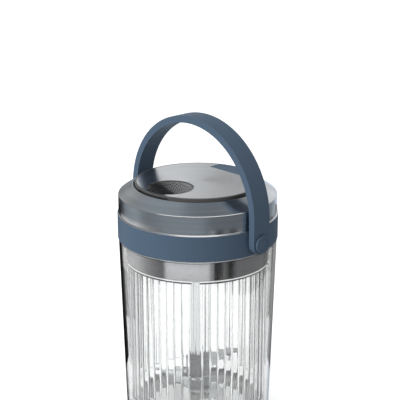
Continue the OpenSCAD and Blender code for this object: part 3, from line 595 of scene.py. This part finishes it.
# Painted shadow lines: a thin near-black rod under each bead, where the collar's foot meets the liner, stands
# in for the shade in that corner. It is laid in that corner and breaks at the pillars as the bead does.
shadow_line_paint = finish("painted_shadow_line", (0.05, 0.052, 0.055), roughness=0.5)
grain(shadow_line_paint, scale=900, low=0.42, high=0.6)
shadow_line_sizes = {**bead_sizes, "Radius": 0.0404, "Rod radius": 0.0005, "Height": 0.0983}
shadow_lines = placed("painted_shadow_lines", bpy.data.meshes.new("painted_shadow_lines"))
grown(shadow_lines, bead_tree(shadow_line_sizes, shadow_line_paint), shadow_line_sizes)
dress(shadow_lines, shadow_line_paint, "jar", "grip_rubber")

# Carry ring, bail, pins and flap: glass-filled nylon with a matt soft-touch coat in slate blue. The mould
# leaves an eased edge all round, so each is the solid's own shape with its edges rounded.

# Points closer than this, in metres, are one point.
TOUCHING = 2e-6


def eased(cad_name, name, width, segments=3, angle=35):
    """The CAD solid's shape, merged and with its edges rounded by width millimetres."""
    mesh = node[cad_name].data.copy()
    bm = bmesh.new()
    bm.from_mesh(mesh)
    bmesh.ops.remove_doubles(bm, verts=bm.verts, dist=TOUCHING)
    bmesh.ops.dissolve_limit(bm, angle_limit=math.radians(0.6), verts=bm.verts, edges=bm.edges)
    bm.to_mesh(mesh)
    bm.free()
    for label in [a.name for a in mesh.attributes if "normal" in a.name]:
        mesh.attributes.remove(mesh.attributes[label])
    mesh.name = name
    piece = placed(name, mesh)
    bevel = piece.modifiers.new("eased", "BEVEL")
    bevel.width = width / 1000
    bevel.segments = segments
    bevel.limit_method = "ANGLE"
    bevel.angle_limit = math.radians(angle)
    bevel.use_clamp_overlap = True
    return smooth(kept(piece))


def bumped(material, noise, strength, depth):
    """The noise also lifts the surface a little, by depth millimetres."""
    nodes, links = material.node_tree.nodes, material.node_tree.links
    bump = nodes.new("ShaderNodeBump")
    bump.inputs["Strength"].default_value = strength
    bump.inputs["Distance"].default_value = depth / 1000
    links.new(noise.outputs["Fac"], bump.inputs["Height"])
    links.new(bump.outputs["Normal"], nodes["Principled BSDF"].inputs["Normal"])


slate = finish("slate_soft_touch", (0.09, 0.138, 0.203), roughness=0.5, Specular_IOR_Level=0.2)
grain(slate, scale=60, low=(0.086, 0.133, 0.197), high=(0.092, 0.141, 0.208), socket="Base Color")
slate_grain = grain(slate, scale=2600, low=0.46, high=0.56)
bumped(slate, slate_grain, strength=0.25, depth=0.02)
ring = eased("carry_ring", "carry_ring_soft", width=0.5)
dress(ring, slate, "lid", "slate_plastic", "carry_ring")
bail = eased("carry_handle", "bail_soft", width=0.9, segments=4)
dress(bail, slate, "handle", "slate_plastic", "carry_handle")
caps = eased("handle_pins", "pin_caps", width=0.3)
dress(caps, slate, "lid", "slate_plastic", "handle_pins")
leaf = eased("crank_flap", "flap_leaf", width=0.25)
dress(leaf, slate, "flap", "slate_plastic", "crank_flap")

# Lid shell: one deep-drawn sheet of polished steel, 1.2 mm thick: a small flared foot over the ring, a
# slightly crowned upright wall, a sloping shoulder and a lip turned down into the well of the crank wheel.
LID_R, LID_IN_R = 44.9, 43.8
LID_FOOT_R, LID_FOOT_Z, FLARE_Z = 45.5, 126.15, 126.4
WALL_FOOT_Z, WALL_H, WALL_CROWN, CROWN_CUTS = 127.05, 10.0, 0.12, 8
SHOULDER_LOW_Z, SHOULDER_TOP_R, SHOULDER_TOP_Z, SHOULDER_IN_Z = 137.35, 36.9, 142.75, 136.8
LIP_R, LIP_TOP_Z, LIP_FOOT_Z = 36, 142.6, 140.15
LIP_BACK_R, LIP_BACK_Z = 37.2, 141.3
steel_polished = finish("polished_steel", (0.58, 0.585, 0.595), roughness=0.17, metallic=1.0, Anisotropic=0.5)
grain(steel_polished, scale=40, low=0.14, high=0.2, stretch=(1, 1, 30))
brushed(steel_polished, across=420, along=14, dark=(0.53, 0.535, 0.545), light=(0.6, 0.605, 0.615))
crown = [(LID_R + WALL_CROWN * math.sin(math.pi * k / CROWN_CUTS), WALL_FOOT_Z + WALL_H * k / CROWN_CUTS, 0)
         for k in range(1, CROWN_CUTS)]
lid = turned("lid_shell_steel", softened([
    (LID_IN_R, LID_FOOT_Z, 0), (LID_FOOT_R, LID_FOOT_Z, 0.1), (LID_FOOT_R, FLARE_Z, 0.12),
    (LID_R, WALL_FOOT_Z, 0.25), *crown, (LID_R, SHOULDER_LOW_Z, 1.0),
    (SHOULDER_TOP_R, SHOULDER_TOP_Z, 0.35), (LIP_R, LIP_TOP_Z, 0.4), (LIP_R, LIP_FOOT_Z, 0),
    (LIP_BACK_R, LIP_FOOT_Z, 0), (LIP_BACK_R, LIP_BACK_Z, 0.3), (LID_IN_R, SHOULDER_IN_Z, 0.5)],
    cuts=6), angles=288, crease=40)
dress(lid, steel_polished, "lid", "polished_steel", "lid_shell")

# Facing of the crank wheel: a thin disc of spun steel with its edge turned down over the plastic wheel. That
# edge is near-black like the wheel's side, and a narrow ring along the top's rim is near-black as a painted
# dark reflection. It has a round hole for the finger dimple, a notch for the flap and a thumb notch.
FACE_R, FACE_IN_R = 35.6, 35.1
FACE_TOP_Z, FACE_BACK_Z, FACE_EDGE_Z = 144.35, 143.85, 142.15
DARK_EDGE_R, DARK_EDGE_MARGIN = 34.4, 0.1
DIMPLE_R, DIMPLE_Y, HOLE_FOOT_Z, HOLE_TOP_Z = 13.2, -21.0, 143, 145
FLAP_NOTCH_HALF, FLAP_NOTCH_Y = 14.6, 23.6
THUMB_NOTCH_HALF, THUMB_NOTCH_Y, THUMB_NOTCH_TOP_Z = 12, -30, 143.45
NOTCH_REACH, NOTCH_FOOT_Z, NOTCH_TOP_Z = 40, 141, 146
steel_spun = finish("spun_steel", (0.6, 0.6, 0.6), roughness=0.16, metallic=1.0, Anisotropic=0.9)
spun_nodes, spun_links = steel_spun.node_tree.nodes, steel_spun.node_tree.links
spun_round = spun_nodes.new("ShaderNodeTangent")
spun_round.direction_type = "RADIAL"
spun_round.axis = "Z"
spun_links.new(spun_round.outputs[0], spun_nodes["Principled BSDF"].inputs["Tangent"])
grain(steel_spun, scale=30, low=0.14, high=0.19)
brushed(steel_spun, across=1400, along=20, dark=(0.57, 0.565, 0.56), light=(0.63, 0.63, 0.63))
# Near-black for the facing's edge: the dark of the wheel's side, and on the top's rim a painted dark
# reflection.
dark_edge_and_reflection = finish("dark_edge_and_reflection", (0.085, 0.082, 0.08), roughness=0.3)
grain(dark_edge_and_reflection, scale=1500, low=0.25, high=0.38)


def cut(piece, *cutters):
    """Takes the cutters out of the piece for good and joins the points that fell together."""
    for cutter in cutters:
        taken = piece.modifiers.new("cut", "BOOLEAN")
        taken.operation = "DIFFERENCE"
        taken.solver = "EXACT"
        taken.object = cutter
    kept(piece)
    bm = bmesh.new()
    bm.from_mesh(piece.data)
    bmesh.ops.remove_doubles(bm, verts=bm.verts, dist=TOUCHING)
    bmesh.ops.holes_fill(bm, edges=[edge for edge in bm.edges if edge.is_boundary], sides=8)
    bm.to_mesh(piece.data)
    bm.free()
    for cutter in cutters:
        bpy.data.objects.remove(cutter)


def block(name, low, high):
    """A box between two corners in millimetres."""
    bm = bmesh.new()
    bmesh.ops.create_cube(bm, size=1)
    low, high = Vector(low) / 1000, Vector(high) / 1000
    for vert in bm.verts:
        vert.co = Vector([(a + b) / 2 + c * (b - a) for a, b, c in zip(low, high, vert.co)])
    return meshed(name, bm)


face = turned("wheel_face_steel", softened([
    (FACE_IN_R, FACE_EDGE_Z, 0), (FACE_R, FACE_EDGE_Z, 0.1), (FACE_R, FACE_TOP_Z, 0.35),
    (DARK_EDGE_R, FACE_TOP_Z, 0), (0, FACE_TOP_Z, 0), (0, FACE_BACK_Z, 0),
    (FACE_IN_R, FACE_BACK_Z, 0.45)], cuts=6), angles=288)
dimple_hole = turned("dimple_hole", [
    (0, HOLE_FOOT_Z), (DIMPLE_R, HOLE_FOOT_Z), (DIMPLE_R, HOLE_TOP_Z), (0, HOLE_TOP_Z)], angles=128)
dimple_hole.data.transform(Matrix.Translation((0, DIMPLE_Y / 1000, 0)))
flap_notch = block("flap_notch", (-FLAP_NOTCH_HALF, FLAP_NOTCH_Y, NOTCH_FOOT_Z),
                   (FLAP_NOTCH_HALF, NOTCH_REACH, NOTCH_TOP_Z))
thumb_notch = block("thumb_notch", (-THUMB_NOTCH_HALF, -NOTCH_REACH, NOTCH_FOOT_Z),
                    (THUMB_NOTCH_HALF, THUMB_NOTCH_Y, THUMB_NOTCH_TOP_Z))
cut(face, dimple_hole, flap_notch, thumb_notch)
smooth(face, crease=30)
dress(face, steel_spun, "crank", "polished_steel", "crank_facing")
# The turned-down side and the outer ring of the top get the near-black; on the top it is a painted dark
# reflection.
face.data.materials.append(dark_edge_and_reflection)
for polygon in face.data.polygons:
    outermost = polygon.center.to_2d().length > (DARK_EDGE_R + DARK_EDGE_MARGIN) / 1000
    polygon.material_index = 1 if outermost and polygon.normal.z > -0.5 else 0

# Grip pad: black elastomer moulded in the finger dimple, which is part of a ball, and set all over with
# small round dots. A small low lamp on the left lights the pad alone and leaves its near side in the shade.
DOT_PITCH, DOT_R, DOT_MARGIN = 1.45, 0.42, 0.8
ROW_SHARE = 0.866
BALL_R, BALL_Z = 16.653, 154.503
rubber = finish("grip_elastomer", (0.028, 0.0283, 0.029), roughness=0.38, Specular_IOR_Level=0.25)


def dot_tree(sizes, material):
    """Adds a small ball at each point of a grid of even triangles that is laid on the dimple."""
    tree, given, add, maths = sized_tree("grip_dots", sizes)
    reach = maths("CEIL", maths("DIVIDE", given["Field radius"], given["Pitch"]))
    rows = maths("ADD", maths("MULTIPLY", reach, 2), 3)
    wide = maths("MULTIPLY", maths("SUBTRACT", rows, 1), given["Pitch"])
    grid = add("GeometryNodeMeshGrid", {
        "Size X": wide, "Size Y": maths("MULTIPLY", wide, ROW_SHARE), "Vertices X": rows, "Vertices Y": rows})
    where = add("ShaderNodeSeparateXYZ", {0: add("GeometryNodeInputPosition")[0]})
    row = maths("ROUND", maths("DIVIDE", where["Y"], maths("MULTIPLY", given["Pitch"], ROW_SHARE)))
    odd = maths("ABSOLUTE", maths("MODULO", row, 2))
    x = maths("ADD", where["X"], maths("MULTIPLY", odd, maths("MULTIPLY", given["Pitch"], 0.5)))
    squares = maths("ADD", maths("POWER", x, 2), maths("POWER", where["Y"], 2))
    drop = maths("SQRT", maths("SUBTRACT", maths("POWER", given["Ball radius"], 2), squares))
    on_ball = add("ShaderNodeCombineXYZ", {"X": x, "Y": maths("ADD", where["Y"], given["Dimple at"]),
                                           "Z": maths("SUBTRACT", given["Ball height"], drop)})
    laid = add("GeometryNodeSetPosition", {"Geometry": grid[0], "Position": on_ball[0]})
    after = add("ShaderNodeSeparateXYZ", {0: add("GeometryNodeInputPosition")[0]})
    beyond = maths("POWER", maths("SUBTRACT", after["Y"], given["Dimple at"]), 2)
    off = maths("SQRT", maths("ADD", maths("POWER", after["X"], 2), beyond))
    too_far = maths("GREATER_THAN", off, given["Field radius"])
    field = add("GeometryNodeDeleteGeometry", {"Geometry": laid[0], "Selection": too_far}, domain="POINT")
    dot = add("GeometryNodeMeshUVSphere", {"Segments": 8, "Rings": 5, "Radius": given["Dot radius"]})
    dots = add("GeometryNodeInstanceOnPoints", {"Points": field[0], "Instance": dot[0]})
    real = add("GeometryNodeRealizeInstances", {0: dots[0]})
    round_dots = add("GeometryNodeSetShadeSmooth", {"Geometry": real[0]})
    both = add("GeometryNodeJoinGeometry")
    join = both[0].node
    tree.links.new(given["Geometry"], join.inputs[0])
    tree.links.new(round_dots[0], join.inputs[0])
    painted = add("GeometryNodeSetMaterial", {"Geometry": join.outputs[0], "Material": material})
    add("NodeGroupOutput", {0: painted[0]})
    return tree


pad = eased("grip_pad", "grip_pad_dotted", width=0.05, segments=1, angle=60)
dot_sizes = {"Pitch": DOT_PITCH / 1000, "Dot radius": DOT_R / 1000,
             "Field radius": (DIMPLE_R - DOT_MARGIN) / 1000, "Dimple at": DIMPLE_Y / 1000,
             "Ball radius": BALL_R / 1000, "Ball height": BALL_Z / 1000}
grown(pad, dot_tree(dot_sizes, rubber), dot_sizes)
dress(pad, rubber, "crank", "grip_rubber", "grip_pad")
over_pad = spot(-0.0152, 0.0145, 0.144)
low_lamp = soft_light("lamp_low_left", over_pad + spot(-0.45, 0.16, 0.15), over_pad, size=0.03, power=19)
lit_pad = bpy.data.collections.new("lit_by_lamp_low_left")
lit_pad.objects.link(pad)
low_lamp.light_linking.receiver_collection = lit_pad

# Everything inside: moulded acetal gears, glass-filled housing, turned bronze and ground steel. The solids
# have their true shapes, so they stay and take these finishes.
steel_ground = finish("ground_steel", (0.76, 0.765, 0.77), roughness=0.25, metallic=1.0)
grain(steel_ground, scale=60, low=0.2, high=0.28, stretch=(20, 20, 1))
blade_steel = finish("blade_steel", (0.64, 0.65, 0.66), roughness=0.2, metallic=1.0)
grain(blade_steel, scale=300, low=0.15, high=0.3, stretch=(6, 1, 1))
dark_plastic = finish("wheel_plastic", (0.03, 0.032, 0.035), roughness=0.4)
grain(dark_plastic, scale=1500, low=0.35, high=0.45)
grey_plastic = finish("housing_plastic", (0.29, 0.3, 0.31), roughness=0.42)
grain(grey_plastic, scale=1500, low=0.36, high=0.48)
acetal = finish("gear_acetal", (0.8, 0.79, 0.75), roughness=0.35)
grain(acetal, scale=900, low=0.3, high=0.42)
bronze = finish("bearing_bronze", (0.5, 0.32, 0.13), roughness=0.35, metallic=1.0)
grain(bronze, scale=500, low=0.28, high=0.45)
silicone = finish("seal_silicone", (0.6, 0.62, 0.63), roughness=0.5, Subsurface_Weight=0.1)
grain(silicone, scale=700, low=0.42, high=0.58)
foot_rubber = finish("foot_rubber", (0.07, 0.1, 0.145), roughness=0.65)
grain(foot_rubber, scale=1200, low=0.58, high=0.72)
for material, names in (
        (steel_ground, ("drive_shaft", "flap_wire", "plate_screws", "planet_axles", "carrier_screw",
                        "retaining_clip", "blade_nut")),
        (blade_steel, ("upper_blade", "lower_blade")),
        (dark_plastic, ("crank_wheel",)),
        (grey_plastic, ("bearing_plate", "plug_cup", "planet_carrier", "blade_hub", "blade_spacer")),
        (acetal, ("ring_gear", "planet_gear_1", "planet_gear_2", "planet_gear_3", "sun_gear",
                  "foot_bearing")),
        (bronze, ("crank_bush", "shaft_bush", "thrust_washer", "carrier_washer")),
        (silicone, ("lid_gasket",)), (rubber, ("shaft_seal",)), (foot_rubber, ("foot_ring",))):
    for name in names:
        for slot in node[name].material_slots:
            slot.material = material
